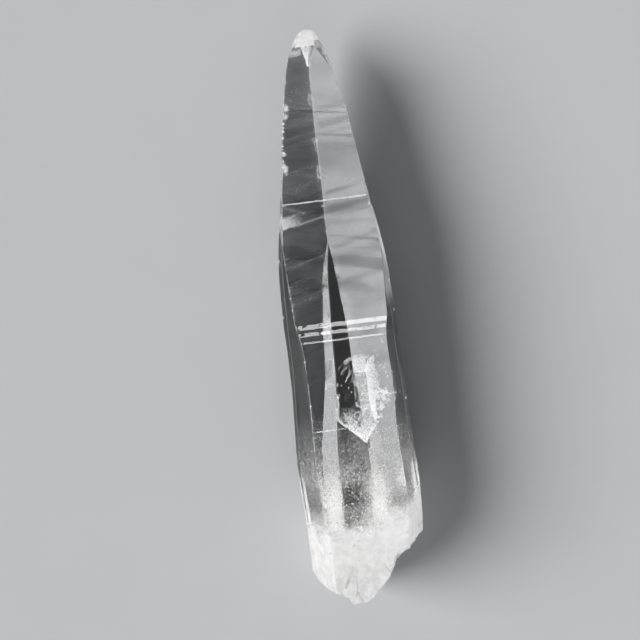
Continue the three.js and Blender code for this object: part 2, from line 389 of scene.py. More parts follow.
# How frosted each point of the skin is: the milky base, the bruised tip and the chips
vx, vt, vz = verts.T
on_side = np.full(len(verts), -1)
on_side[:nrow * ncol] = np.tile(SIDE, nrow)
start = cloud_top(vx)
frost = 0.97 * smooth(start + 9, start - 11, vt + 4.5 * fbm(vx * .16, vt * .16, vz * .16, 3))
frost *= 1 - 0.85 * (on_side == 4) * np.exp(-((vx + 3.8) / 4.2) ** 4 - ((vt - 40.0) / 6.4) ** 4)     # a clear window
tip = np.where(np.isin(on_side, (3, 4, 5)), smooth(180.9, 181.25, vt), 0)
tip = np.maximum(tip, np.where(np.isin(on_side, (6, 7)), 0.62 * smooth(180.6, 181.4, vt), 0))
tip = np.maximum(tip, np.where(np.isin(on_side, (1, 2)), smooth(182.2, 182.7, vt), 0))
tip = np.maximum(tip, smooth(184.0, 184.7, vt))
frost = np.maximum(frost, tip)
frost[cap0:hub + 1] = np.maximum(frost[cap0:hub + 1], 0.98)

# Silky bands across the two large faces behind, where fine growth lines crowd together
stria = np.zeros(len(verts))
row_t = np.full(len(verts), 0.0)
row_t[:nrow * ncol] = np.repeat(np.concatenate([np.zeros(LOW_ROWS), ROW_T]), ncol)
for side, bands, seed in ((0, RIGHT_BANDS, 3.0), (8, LEFT_BANDS, 11.0)):
    m = (on_side == side) & (row_t > 0)
    across = np.tile(np.where(SIDE == side, PART, 0), nrow)
    across = np.concatenate([across, np.zeros(len(verts) - len(across))])[m]
    back = 1 - across if side == 0 else across          # 0 at the outer edge, 1 at the back edge
    u = row_t[m] + 0.22 * noise3(across * 3.0, row_t[m] * .05, seed)
    total = np.zeros(m.sum())
    for c, half, strength, keep, *lean in bands:
        w = 1.0 if keep == 0 else smooth(0.0, 0.95, back if keep > 0 else 1 - back)
        ends = 0.8 + 0.35 * noise3(across * 2.2, c * 1.7, seed + 2)
        middle = c + (lean[0] * (1 - 2 * back) if lean else 0)
        total = np.maximum(total, strength * w * ends * np.exp(-np.abs((u - middle) / half) ** 3))
    fine = 0.5 * noise3(u / 1.1, seed, 7.5) + 0.35 * noise3(u / 2.6, across, 3.5)
    haze = 0.20 if side == 0 else 0.03
    stria[m] = np.clip(haze + total * (1 + 0.25 * fine) + 0.10 * smooth(0.0, 0.7, fine), 0, 1) * smooth(60, 76, row_t[m])

m = (on_side == 2) & (row_t > 0)             # the upper right face is silky where it runs out
stria[m] = (0.5 + 0.2 * noise3(vt[m] * .25, vx[m] * .3, 1.9)) * smooth(99, 107, row_t[m]) * smooth(134, 127, row_t[m])

# Where the step lines of the front face are bruised
fleck = np.zeros(len(verts))
for a, b, plain, cx, wide, more in ((95.6, 96.8, 0.14, 7.0, 6.5, 0.6), (97.6, 99.1, 0.08, -6.5, 3.0, 0.35), (93.4, 94.0, 0.10, 0.0, 4.0, 0.0)):
    m = (on_side == 4) & (row_t > a) & (row_t < b)
    fleck[m] = plain + more * np.exp(-((vx[m] - cx) / wide) ** 4)

mesh = bpy.data.meshes.new("quartz_crystal")
mesh.from_pydata(to_row(vx, vt, vz).tolist(), [], faces)
flag = np.zeros(len(verts))
flag[cap0:hub + 1] = 1
for name, value in (("frost", frost), ("broken", flag), ("stria", stria), ("fleck", fleck)):
    layer = mesh.attributes.new(name, "FLOAT", "POINT")
    layer.data.foreach_set("value", value.astype(np.float32))
bm = bmesh.new()
bm.from_mesh(mesh)
bmesh.ops.remove_doubles(bm, verts=bm.verts, dist=2e-6)
bmesh.ops.dissolve_degenerate(bm, dist=1e-6, edges=bm.edges)
bmesh.ops.recalc_face_normals(bm, faces=bm.faces)
print("crystal skin:", len(bm.faces), "faces, open edges:", sum(not e.is_manifold for e in bm.edges))
bm.to_mesh(mesh)
bm.free()
mesh.shade_smooth()
mesh.set_sharp_from_angle(angle=math.radians(6))
crystal = bpy.data.objects.new("quartz_crystal", mesh)
bpy.context.collection.objects.link(crystal)

# --------------------------------------------------------------------------
# What is sealed in the crystal: veils, a healed break and the milky cloud,
# each of them many small closed grains joined in one mesh
# --------------------------------------------------------------------------
GRAIN = np.array([[1, 0, 0], [-.55, .8, 0], [-.55, -.8, 0], [0, 0, 1], [0, 0, -1]], float)
GRAIN_FACES = np.array([[0, 1, 3], [1, 2, 3], [2, 0, 3], [1, 0, 4], [2, 1, 4], [0, 2, 4]])


def inside(p, margin):
    """True for the points (mm) that lie deeper than margin in the crystal."""
    x, t, z = p.T
    ok = (t > base_t(x, z) + margin) & (t < TIP_T - 1)
    for k in range(12):
        d = np.interp(t, STATIONS, OFFSETS[:, k])
        ok &= x * NORMAL[k, 0] + (z - AXIS_Z) * NORMAL[k, 1] < d - margin
    return ok


class Grains:
    """Collects small closed grains: flat, five-cornered and uneven."""

    def __init__(self, name, seed, lift=0.0):
        self.name, self.r, self.points, self.lift = name, np.random.default_rng(seed), [], lift

    def add(self, centre, size, long=1.0, thin=0.35, normal=None, along=None, spread=0.6, margin=0.5):
        """Grains at centre (n, 3), of half length size, stretched along a direction and flat across normal."""
        c = np.asarray(centre, float)
        if self.lift:                   # raised towards the front face, and with that a little towards the tip
            c = c + self.lift * np.column_stack([-(c[:, 0] + 6.8) / 629, (184 - c[:, 1]) / 629, np.ones(len(c))])
        n = len(c)
        nor = self.r.normal(0, 1, (n, 3)) * (spread if normal is not None else 1)
        nor = nor + (np.asarray(normal, float) if normal is not None else 0)
        nor /= np.linalg.norm(nor, axis=1, keepdims=True)
        lead = self.r.normal(0, 1, (n, 3)) * ((0.25 if long < 10 else 0.03) if along is not None else 1)
        lead = lead + (np.asarray(along, float) if along is not None else 0)
        lead -= nor * np.sum(nor * lead, 1, keepdims=True)
        lead /= np.linalg.norm(lead, axis=1, keepdims=True)
        size = np.broadcast_to(np.asarray(size, float), n) * self.r.lognormal(0, 0.35, n)
        axes = np.stack([lead, np.cross(nor, lead), nor], 1)            # n, axis, xyz
        scale = np.stack([size * long, size, size * thin], 1)
        p = GRAIN[None] * scale[:, None] * self.r.uniform(0.6, 1.3, (n, 5, 1))
        p = np.einsum("nka,nax->nkx", p, axes) + c[:, None]
        self.points.append(p[inside(c, margin)])

    def piece(self, material):
        p = np.concatenate(self.points)
        n = len(p)
        m = bpy.data.meshes.new(self.name)
        m.from_pydata(to_row(*p.reshape(-1, 3).T).tolist(), [],
                      (GRAIN_FACES[None] + 5 * np.arange(n)[:, None, None]).reshape(-1, 3).tolist())
        tone = m.attributes.new("tone", "FLOAT", "POINT")
        tone.data.foreach_set("value", np.repeat(self.r.uniform(0, 1, n), 5).astype(np.float32))
        m.materials.append(material)
        o = bpy.data.objects.new(self.name, m)
        bpy.context.collection.objects.link(o)
        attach(o, "root")
        print(self.name, n, "grains", n * 6, "triangles")
        return o


def along_line(r, pts, n, jitter):
    """n points along a broken line of (x, t, z), scattered by jitter."""
    pts = np.array(pts, float)
    seg = np.linalg.norm(np.diff(pts, axis=0), axis=1)
    s = np.concatenate([[0], np.cumsum(seg)])
    u = r.uniform(0, s[-1], n)
    p = np.stack([np.interp(u, s, pts[:, i]) for i in range(3)], 1)
    return p + r.normal(0, 1, (n, 3)) * np.asarray(jitter)


veil = Grains("milky_veil", 41, 7.5)
r = veil.r

# the main streak: a sheet with a sharp left edge that sinks and thins to the right
EDGE = np.array([[85.2, 6.4], [83.4, 5.6], [81.4, 5.0], [79.7, 5.3], [75.7, 5.2], [71.6, 5.2], [68.1, 5.45], [65.0, 6.1]])
n = 8200
t = r.uniform(65.0, 85.2, n)
w = r.beta(0.95, 2.0, n)
wide = np.interp(t, [65, 70, 76, 82, 85], [2.2, 3.0, 4.4, 4.8, 3.0])
x = np.interp(t, EDGE[::-1, 0], EDGE[::-1, 1]) + w * wide + 0.12 * fbm(t * .8, 3.1, 0.4, 3)
z = 23.0 - 7.5 * w + 0.5 * fbm(x * .5, t * .3, 1.0, 2) + r.normal(0, .25, n)
keep = fbm(x * .9, t * .22, z * .3, 3) > -0.5 + 0.6 * w
veil.add(np.column_stack([x, t, z])[keep], 0.085, 1.6, 0.35, (-0.2, 0, 1), (0, 1, 0), 0.7)
veil.add(along_line(r, [(e[1], e[0], 23.0) for e in EDGE[2:]], 480, (.05, .1, .3)), 0.09, 2.0, 0.4, (-0.2, 0, 1), (0, 1, 0), 0.5)

# the smooth cap at its upper end, with a soft arch over it
n = 5200
x, t = r.uniform(1.4, 5.6, n), r.uniform(80.8, 85.8, n)
z = 21.5 + 0.4 * (x - 3) + 0.3 * fbm(x, t, 0.2, 2) + r.normal(0, .2, n)
keep = (t < 86.1 - 0.18 * (x - 3.6) ** 2) & (fbm(x * .7, t * .7, 5.5, 3) > -0.6)
veil.add(np.column_stack([x, t, z])[keep], 0.06, 1.2, 0.4, (0, 0.2, 1), None, 0.6)
veil.add(along_line(r, [(-1.2, 84.0, 20), (0.4, 85.2, 21), (2.4, 86.0, 22), (4.6, 86.1, 22.5), (6.6, 85.2, 22.5)],
                    700, (.35, .35, .8)), 0.10, 1.3, 0.35)

# a thin dotted sheet to its left, with a straight left edge and a bright lower rim
n = 2600
x, t = r.uniform(0.9, 5.2, n), r.uniform(69.6, 81.4, n)
z = 20.5 + 0.35 * x + r.normal(0, .3, n)
keep = fbm(x * 1.5 + 3, t * 1.1, 9.1, 4) > 0.03
veil.add(np.column_stack([x, t, z])[keep], 0.09, 1.3, 0.35, (0, 0, 1), None, 0.8)
veil.add(along_line(r, [(0.95, 81.0, 21), (1.0, 76, 21), (0.8, 70.2, 21)], 50, (.10, .1, .3)), 0.08, 1.5, 0.4, None, (0, 1, 0))
veil.add(along_line(r, [(1.9, 69.6, 21.5), (3.4, 68.9, 22), (4.6, 69.3, 22.5)], 130, (.12, .12, .3)), 0.11, 1.4, 0.4)

# tufts to the right of the streak
for cx, ct, cz, rad, many in ((9.9, 71.6, 19, 1.7, 1500), (8.6, 68.6, 18.5, 1.2, 700), (10.9, 72.9, 19.5, .8, 420), (9.0, 73.4, 19.5, .8, 380),
                              (10.7, 81.4, 20, .7, 190), (11.3, 79.9, 20, .5, 110), (11.5, 77.9, 20, .28, 70),
                              (9.3, 85.0, 20, .22, 40), (8.9, 87.0, 21, .2, 36), (11.2, 89.6, 21, .6, 60),
                              (8.2, 81.8, 20, .4, 60), (7.4, 65.6, 18.5, .9, 220), (6.9, 63.6, 18, .6, 150),
                              (-4.1, 73.9, 20, .3, 60), (-0.6, 76.0, 20, .25, 34),
                              (-3.6, 77.3, 20, .5, 70), (0.0, 74.6, 20.4, .2, 24)):
    if cx > 7:
        ct, cz = ct + 0.5, cz + 2.7
    hubs = np.array([cx, ct, cz]) + r.normal(0, 1, (max(3, many // 40), 3)) * rad * np.array([.75, .8, .75])
    c = hubs[r.integers(0, len(hubs), many)] + r.normal(0, 1, (many, 3)) * rad * 0.2
    veil.add(c, 0.085, 1.4, 0.5)
veil.add(along_line(r, [(-4.2, 74.2, 20), (-4.6, 72.6, 20), (-4.5, 70.6, 19.8), (-5.0, 69.2, 19.6), (-5.2, 67.8, 19.4), (-5.6, 66.8, 19.4)],
                    760, (.28, .3, .5)), 0.075, 1.7, 0.5)

# a healed break: two arms that meet in a point, extended in depth
mend = Grains("healed_break", 59, 7.5)
APEX_V = np.array([2.6, 58.2])
for arm, many in (([(-5.7, 66.9), (-4.4, 65.2), (-2.65, 63.5), (0, 61.0), (2.5, 58.3)], 1750),
                  ([(6.4, 63.2), (5.5, 62.3), (4.45, 61.0), (3.4, 59.6), (2.65, 58.1)], 1250)):
    arm = np.array(arm)
    d = mend.r.beta(1.0, 2.0, many) * 6.0
    p = along_line(mend.r, np.column_stack([arm, np.full(len(arm), 22.5)]), many, (.07, .07, 0))
    p[:, 2] -= d
    p[:, 1] += 0.030 * d ** 2 + 0.14 * fbm(p[:, 0] * .6, d * .5, 2.2, 3)
    keep = fbm(p[:, 0] * .8, d * .6, 6.6, 3) > -0.30 + 0.05 * d
    mend.add(p[keep], 0.095, 1.5, 0.22, (0.5, 0.6, 0.5), None, 0.5)

# woolly filling above the break: strands, thickest along its arms and at the point
n = 60000
x, t = mend.r.uniform(-5.5, 6.6, n), mend.r.uniform(58.0, 69.5, n)
low = np.maximum(APEX_V[1] + (APEX_V[0] - x) * 1.0, APEX_V[1] + (x - APEX_V[0]) * 1.30)
rise = t - low
thick = 0.8 * np.exp(-np.clip(rise, 0, 20) / 1.8) + 0.9 * np.exp(-((x - 1.6) / 4.3) ** 4) * np.exp(-np.clip(rise - 1, 0, 20) / 5.0)
u, v = x + 0.5 * noise3(x * .8, t * .8, 1.1), t + 0.5 * noise3(x * .8, t * .8, 5.1)
strand = 0.6 * np.clip(1 - 2.2 * np.abs(noise3(u * 1.9, v * 1.3, 2.3)), 0, 1) ** 2 + np.clip(1 - 2.2 * np.abs(noise3(u * 4.1, v * 3.2, 8.3)), 0, 1) ** 2
keep = (rise > 0) & (mend.r.random(n) < thick * (0.10 + 0.75 * strand) * smooth(-0.55, 0.1, fbm(x * .7, t * .7, 4.7, 3)))
z = 20.6 - 0.30 * rise + 0.7 * strand + mend.r.normal(0, .5, n)
mend.add(np.column_stack([x, t, z])[keep], 0.06, 1.5, 0.5)
n = 2400
x, t = mend.r.uniform(-3.2, 6.2, n), mend.r.uniform(58.3, 68.6, n)
keep = (t - np.maximum(APEX_V[1] + (APEX_V[0] - x) * 1.0, APEX_V[1] + (x - APEX_V[0]) * 1.30) > 0.2) & (fbm(x * .8, t * .8, 6.7, 3) > -0.05 + 0.02 * (t - 58))
mend.add(np.column_stack([x, t, mend.r.normal(21.8, .3, n)])[keep], 0.12, 1.4, 0.5, (0, 0, 1), None, 0.5)
n = 240
x, t = mend.r.uniform(-4.6, 5.6, n), mend.r.uniform(59.0, 68.5, n)
keep = t - np.maximum(APEX_V[1] + (APEX_V[0] - x) * 1.0, APEX_V[1] + (x - APEX_V[0]) * 1.30) > 0.3
for c, lean in zip(np.column_stack([x, t, np.full(n, 21.2)])[keep], mend.r.choice([-0.9, 0.8, 1.3], n)):
    mend.add(c[None], 0.045, mend.r.uniform(8, 22), 0.5, (0, 0, 1), (lean, 1, 0.2), 0.3)
mend.add(along_line(mend.r, [(0.9, 61.0, 20.5), (2.0, 59.8, 20.5), (3.2, 59.8, 20.5)], 420, (.35, .4, .5)), 0.08, 1.5, 0.5)

# a sparse dust around the veil
n = 1500
x, t, z = r.uniform(-7, 12, n), r.uniform(57, 92, n), r.uniform(12, 26, n)
veil.add(np.column_stack([x, t, z])[fbm(x * .35, t * .3, z * .3, 3) > 0.02], 0.05, 1.4, 0.5)

# splinters: thin blades that slant down to the left
for a, b in (((-0.3, 83.1), (-3.1, 80.5)), ((1.0, 81.6), (-0.9, 78.3)), ((0.6, 84.2), (-1.5, 81.3)), ((0.2, 80.9), (-1.4, 78.9)),
             ((-0.9, 82.6), (-2.2, 79.9)), ((0.7, 82.9), (-0.4, 80.3)), ((1.1, 79.8), (0.2, 77.6)), ((-1.6, 84.0), (-3.6, 81.9)),
             ((4.2, 69.6), (2.3, 66.9)), ((2.3, 68.0), (1.0, 65.6)), ((-0.4, 66.3), (-1.5, 64.6))):
    a, b = np.array(a), np.array(b)
    half = np.linalg.norm(a - b) / 2
    c = np.array([[(a + b)[0] / 2, (a + b)[1] / 2, 20.5]]) + r.normal(0, .12, (3, 3))
    d = np.array([(a - b)[0], (a - b)[1], 0.4]) / (2 * half)
    veil.add(c, half * 0.048, 26.0 * r.uniform(.8, 1.1), 0.4, (0.2, -0.3, 0.9), d, 0.25)

# white bruises along the back edge and in the small facet under the tip
veil.lift = 0.0
for ct, many, rad in ((175.2, 70, .35), (166.0, 40, .25), (164.5, 90, .32), (163.0, 40, .25), (151.8, 60, .3), (150.2, 50, .3),
                      (148.6, 30, .25), (143.6, 80, .4), (142.2, 90, .45), (140.6, 60, .35), (131.2, 30, .25), (127.6, 24, .25)):
    e = [np.interp(ct, STATIONS, CORNERS[:, 10, i]) for i in (0, 1)]
    c = np.column_stack([np.full(many, e[0]), np.full(many, ct), np.full(many, e[1] + AXIS_Z + .55)])
    veil.add(c + r.normal(0, 1, (many, 3)) * rad * np.array([.6, 1.5, .5]), 0.08, 1.4, 0.5, margin=0.12)
for chips, side in ((CHIPS, 7), (NICKS, 1), (SPARKS, 5)):
    for ct, half, depth in chips:
        many = int(30 + 420 * half * depth)
        e = [np.interp(ct, STATIONS, CORNERS[:, side, i]) for i in (0, 1)]
        q = np.column_stack([np.full(many, e[0]), np.full(many, ct), np.full(many, e[1] + AXIS_Z)])
        q += r.normal(0, 1, (many, 3)) * np.array([.35 * depth + .12, .45 * half, .35 * depth + .12])
        q[:, [0, 2]] -= 0.2 * NORMAL[side]
        veil.add(q, 0.09, 1.4, 0.5, margin=0.06)
n = 1300
f, t = r.uniform(0, 1, n), r.uniform(175.2, 181.2, n)
lo, hi = np.interp(t, [175.2, 177.5, 181.2], [-1.0, -1.35, -2.4]), np.interp(t, [175.2, 177.5, 181.2], [-0.75, -0.45, 0.4])
z = AXIS_Z + np.interp(t, TABLES[2][:, 0], TABLES[2][:, 1]) - 0.8 + r.normal(0, .12, n)
veil.add(np.column_stack([lo + (hi - lo) * f, t, z]), 0.10, 1.4, 0.3, (0, 0.1, 1), None, 0.4, margin=0.2)

# a few long growth lines just under the two large faces behind; on the lower left face (side 8) the broad bands at
# 138.9, 144.3, 166.2 and near 179 are painted light: white grains that stand in for lighter bands of reflected light
# on that face
silk_and_painted_light = Grains("growth_lines_and_painted_light", 47)
r = silk_and_painted_light.r
for side, mid, lean, many, wide in ((8, 127.95, 0.0, 620, .20), (8, 115.6, 0.0, 170, .22), (8, 103.8, 0.3, 150, .45), (8, 144.3, 0.0, 80, .30),
                                   (8, 110.0, 0.0, 70, .40), (8, 138.9, 0.0, 150, .7), (8, 166.2, 0.0, 520, 1.8), (8, 179.4, 0.0, 1300, .40), (8, 178.5, 0.0, 140, .08), (0, 129.3, -2.1, 320, .16),
                                   (0, 140.3, 0.6, 160, .3), (0, 125.0, 0.0, 160, .4), (0, 161.5, 0.0, 140, .12), (0, 157.9, 0.0, 120, .15)):
    f = r.uniform(0.04, 0.96 if mid < 178 else 0.60, many)
    t = mid + lean * (1 - 2 * f) + 0.22 * noise3(f * 3.0, mid * .05, 3.0) + r.normal(0, wide, many)
    a = [np.interp(t, STATIONS, CORNERS[:, (side - 1) % 12, j]) for j in (0, 1)]
    b = [np.interp(t, STATIONS, CORNERS[:, side, j]) for j in (0, 1)]
    x, z = a[0] + (b[0] - a[0]) * f, a[1] + (b[1] - a[1]) * f + AXIS_Z
    c = np.column_stack([x - 0.25 * NORMAL[side, 0], t, z - 0.25 * NORMAL[side, 1]])
    silk_and_painted_light.add(c, 0.022, 14.0, 0.4, (NORMAL[side, 0], 0, NORMAL[side, 1]), (NORMAL[side, 1], 0, -NORMAL[side, 0]), 0.1, 0.1)
n = 4200
f, up = r.beta(0.9, 2.2, n) * 0.46, r.beta(1.0, 1.7, n) * 3.6
t = 128.1 + up
a = [np.interp(t, STATIONS, CORNERS[:, 7, j]) for j in (0, 1)]
b = [np.interp(t, STATIONS, CORNERS[:, 8, j]) for j in (0, 1)]
x, z = a[0] + (b[0] - a[0]) * (0.03 + f), a[1] + (b[1] - a[1]) * (0.03 + f) + AXIS_Z
silk_and_painted_light.add(np.column_stack([x + .35 * .87, t, z + .35 * .5]), 0.05, 2.0, 0.4, (-.87, 0, -.5), None, 0.4, 0.12)

# the milky cloud: specks that crowd together towards the broken end
cloud = Grains("milky_cloud", 43)
r = cloud.r
n = 110000
x, z = r.uniform(-18.5, 18.5, n), r.uniform(0.8, 33.2, n)
s = r.uniform(20, 66, n)                       # station of the front face that lies over the speck
t = s - 0.224 * (33.5 - z)
ragged = x + 0.9 * noise3(x * .4, s * .3, 2.7), s + 1.2 * noise3(x * .4, s * .25, 7.7)
share = 0.14 * smooth(67, 50, s) + 0.43 * smooth(55, 42, s) + 0.43 * smooth(43, 34, s)
for cx, wide, cs, tall in ((-3.6, 4.3, 41.4, 8.0), (8.6, 3.3, 48.0, 5.0), (-13.5, 3.6, 42.6, 5.4)):      # clearer windows
    share *= 1 - 0.985 * np.exp(-((ragged[0] - cx) / wide) ** 4 - ((ragged[1] - cs) / tall) ** 4)
clump = fbm(x * .22, t * .13, z * .22, 4) + 0.6 * fbm(x * .9, t * .9, z * .9, 2)
keep = (r.random(n) < share * smooth(-0.5, 0.35, clump)) & inside(np.column_stack([x, t, z]), 0.5)
p, s = np.column_stack([x, t, z])[keep][:30000], s[keep][:30000]
cloud.add(p, 0.085 + 0.035 * smooth(46, 36, s) + 0.09 * r.random(len(p)) ** 4, 1.4, 0.55)

# thicker milk along the two edges of the back face
for a, b, face, many in ((-12.4, -7.2, 4, 6400), (2.2, 7.2, 0, 5200)):
    x, t = r.uniform(a, b, many), 27 + 21 * r.beta(1.2, 1.6, many)
    nx, nz = NORMAL[2 * face]
    z = np.maximum(AXIS_Z + (OFFSETS[np.searchsorted(STATIONS, t) - 1, 2 * face] - nx * x) / nz, 0) + r.uniform(0.9, 3.4, many)
    keep = (r.random(many) < smooth(49, 37, t) * np.exp(-((x - (a + b) / 2) / (0.48 * (b - a))) ** 6)) & (fbm(x * .5, t * .2, z * .3, 3) > -0.4)
    cloud.add(np.column_stack([x, t, z])[keep], 0.15, 1.3, 0.5, (0, 0.1, 1), None, 0.5)

# single bright specks in the dark windows
for a, b, n in ((-8, 1.6, 1000), (-15.5, -8.5, 500)):
    x, s, z = r.uniform(a, b, n), r.uniform(36, 50, n), r.uniform(20, 32, n)
    t = s - 0.224 * (33.5 - z)
    keep = fbm(x * 1.3, t * .5, z * .4, 3) > -0.05
    cloud.add(np.column_stack([x, t, z])[keep], 0.09 + 0.10 * r.random(keep.sum()) ** 3, 2.0, 0.55, None, (0, 1, 0))

# a finer haze above it that thins out towards the veil
haze = Grains("milky_haze", 53)
r = haze.r
n = 90000
x, z, s = r.uniform(-18.5, 18.5, n), r.uniform(0.8, 33.2, n), 42 + 30 * r.beta(1.1, 2.2, n)
t = s - 0.224 * (33.5 - z)
share = np.ones(n)
for cx, wide, cs, tall in ((-3.6, 4.3, 42.6, 5.8), (8.6, 3.3, 48.0, 5.0), (-13.5, 3.6, 43.5, 4.5)):
    share *= 1 - 0.985 * np.exp(-((x - cx) / wide) ** 4 - ((s - cs) / tall) ** 4)
clump = fbm(x * .3, t * .2, z * .3, 4) + 0.7 * fbm(x * 1.1, t * 1.1, z * 1.1, 2)
keep = (r.random(n) < share * smooth(-0.35, 0.3, clump)) & inside(np.column_stack([x, t, z]), 0.5)
p = np.column_stack([x, t, z])[keep][:30000]
haze.add(p, 0.055 + 0.07 * r.random(len(p)) ** 8, 1.5, 0.5)


# --------------------------------------------------------------------------
# Materials
# --------------------------------------------------------------------------
class Nodes:
    """Small helper for wiring a node tree."""

    def __init__(self, name):
        self.mat = bpy.data.materials.new(name)
        self.mat.use_nodes = True
        self.tree = self.mat.node_tree
        self.tree.nodes.clear()
        self.out = self.new("ShaderNodeOutputMaterial")

    def new(self, kind, **props):
        n = self.tree.nodes.new(kind)
        for k, v in props.items():
            setattr(n, k, v)
        return n

    def put(self, socket, value):
        if hasattr(value, "is_output"):
            self.tree.links.new(value, socket)
        else:
            socket.default_value = value

    def math(self, op, a, b=0.0, clamp=False):
        n = self.new("ShaderNodeMath", operation=op, use_clamp=clamp)
        self.put(n.inputs[0], a)
        self.put(n.inputs[1], b)
        return n.outputs[0]

    def remap(self, v, a, b, c, d):
        n = self.new("ShaderNodeMapRange", clamp=True, interpolation_type="SMOOTHSTEP")
        for s, x in zip(n.inputs[:5], (v, a, b, c, d)):
            self.put(s, x)
        return n.outputs[0]

    def tex(self, coord, scale, detail=3.0, rough=0.55, stretch=(1, 1, 1), distort=0.0):
        m = self.new("ShaderNodeMapping")
        self.put(m.inputs["Vector"], coord)
        m.inputs["Scale"].default_value = stretch
        n = self.new("ShaderNodeTexNoise")
        self.put(n.inputs["Vector"], m.outputs[0])
        n.inputs["Scale"].default_value = scale
        n.inputs["Detail"].default_value = detail
        n.inputs["Roughness"].default_value = rough
        n.inputs["Distortion"].default_value = distort
        return n.outputs["Fac"]

    def mix_rgb(self, fac, a, b):
        n = self.new("ShaderNodeMix", data_type="RGBA")
        self.put(n.inputs[0], fac)
        self.put(n.inputs[6], a)
        self.put(n.inputs[7], b)
        return n.outputs[2]

    def mix(self, fac, a, b):
        n = self.new("ShaderNodeMix", data_type="FLOAT")
        self.put(n.inputs[0], fac)
        self.put(n.inputs[2], a)
        self.put(n.inputs[3], b)
        return n.outputs[0]


def quartz_material():
    k = Nodes("clear_quartz")
    p = k.new("ShaderNodeBsdfPrincipled")
    at = k.new("ShaderNodeTexCoord").outputs["Object"]
    frost = k.new("ShaderNodeAttribute", attribute_name="frost").outputs["Fac"]
    broken = k.new("ShaderNodeAttribute", attribute_name="broken").outputs["Fac"]
    stria = k.new("ShaderNodeAttribute", attribute_name="stria").outputs["Fac"]
    # milky patches: the frost mask broken up by cloudy and speckled noise
    cloudy = k.tex(at, 150, 5, 0.6)
    fine = k.tex(at, 1300, 4, 0.7)
    fuzzy = k.math("ADD", frost, k.math("MULTIPLY", k.math("SUBTRACT", cloudy, 0.5), 0.45))
    fuzzy = k.math("ADD", fuzzy, k.math("MULTIPLY", k.math("SUBTRACT", fine, 0.5), 0.75))
    milk = k.remap(fuzzy, 0.30, 0.85, 0.0, 1.0)
    mottle = k.tex(at, 300, 5, 0.65, (1, 0.4, 1), 0.6)
    white = k.mix_rgb(k.remap(mottle, 0.35, 0.65, 0.0, 1.0), (0.75, 0.745, 0.74, 1), (0.84, 0.835, 0.83, 1))
    bent = k.new("ShaderNodeMapping")
    k.put(bent.inputs["Vector"], at)
    bent.inputs["Rotation"].default_value = (0.5, 0.3, 0.35)
    bent.inputs["Scale"].default_value = (1, 0.45, 1)
    cells = k.new("ShaderNodeTexVoronoi", feature="DISTANCE_TO_EDGE")
    k.put(cells.inputs["Vector"], bent.outputs[0])
    cells.inputs["Scale"].default_value = 130
    crack = k.math("MULTIPLY", k.remap(cells.outputs["Distance"], 0.0, 0.045, 1.0, 0.0), k.remap(k.tex(at, 90, 3, 0.5), 0.50, 0.62, 0.0, 0.6))
    speck = k.remap(k.tex(at, 700, 2, 0.5), 0.66, 0.74, 0.0, 0.6)
    white = k.mix_rgb(k.math("MAXIMUM", crack, speck), white, (0.42, 0.415, 0.41, 1))
    k.put(p.inputs["Base Color"], k.mix_rgb(milk, (0.985, 0.99, 0.995, 1), white))
    solid = k.remap(k.tex(at, 420, 4, 0.6), 0.35, 0.7, 0.22, 0.05)
    k.put(p.inputs["Transmission Weight"], k.mix(milk, k.remap(stria, 0.0, 1.0, 1.0, 0.55), solid))
    # gloss: clean growth faces, silky bands, duller where frosted, rough on the break
    dull = k.tex(at, 60, 4, 0.6, (1, 3.2, 1))
    clean = k.math("ADD", k.remap(dull, 0.45, 0.75, 0.0, 0.02), k.math("MULTIPLY", stria, 0.12))
    k.put(p.inputs["Roughness"], k.mix(broken, k.mix(milk, clean, 0.2), 0.42))
    p.inputs["IOR"].default_value = 1.544
    k.put(p.inputs["Subsurface Weight"], k.math("MULTIPLY", milk, 0.5))
    p.inputs["Subsurface Radius"].default_value = (1.0, 0.96, 0.92)
    p.inputs["Subsurface Scale"].default_value = 0.004
    # fine growth lines across the faces, low hills, and grain on the break
    lines = k.tex(at, 900, 2, 0.5, (0.035, 1, 0.035), 0.4)
    hills = k.tex(at, 55, 2, 0.5)
    grain = k.tex(at, 1500, 4, 0.65)
    height = k.math("ADD", k.math("MULTIPLY", lines, 0.0000055), k.math("MULTIPLY", hills, 0.00010))
    height = k.math("ADD", height, k.math("MULTIPLY", k.math("MULTIPLY", grain, broken), 0.00025))
    fleck = k.new("ShaderNodeAttribute", attribute_name="fleck").outputs["Fac"]
    pits = k.remap(k.tex(at, 900, 3, 0.6, (0.7, 1, 1)), 0.50, 0.64, 0.0, 1.0)
    height = k.math("ADD", height, k.math("MULTIPLY", k.math("MULTIPLY", pits, fleck), 0.00004))
    b = k.new("ShaderNodeBump")
    b.inputs["Strength"].default_value = 1.0
    b.inputs["Distance"].default_value = 1.0
    k.put(b.inputs["Height"], height)
    k.put(p.inputs["Normal"], b.outputs[0])
    k.put(k.out.inputs["Surface"], p.outputs[0])
    v = k.new("ShaderNodeVolumeAbsorption")
    v.inputs["Color"].default_value = (0.86, 0.875, 0.885, 1)
    v.inputs["Density"].default_value = 1.2
    k.put(k.out.inputs["Volume"], v.outputs[0])
    return k.mat


def grain_material(name, dark, light):
    k = Nodes(name)
    p = k.new("ShaderNodeBsdfPrincipled")
    at = k.new("ShaderNodeTexCoord").outputs["Object"]
    tone = k.new("ShaderNodeAttribute", attribute_name="tone").outputs["Fac"]
    fac = k.math("ADD", k.math("MULTIPLY", tone, 0.6), k.math("MULTIPLY", k.tex(at, 900, 3, 0.6), 0.5), True)
    k.put(p.inputs["Base Color"], k.mix_rgb(fac, dark, light))
    k.put(p.inputs["Roughness"], k.mix(tone, 0.25, 0.55))
    p.inputs["IOR"].default_value = 1.3
    k.put(k.out.inputs["Surface"], p.outputs[0])
    return k.mat


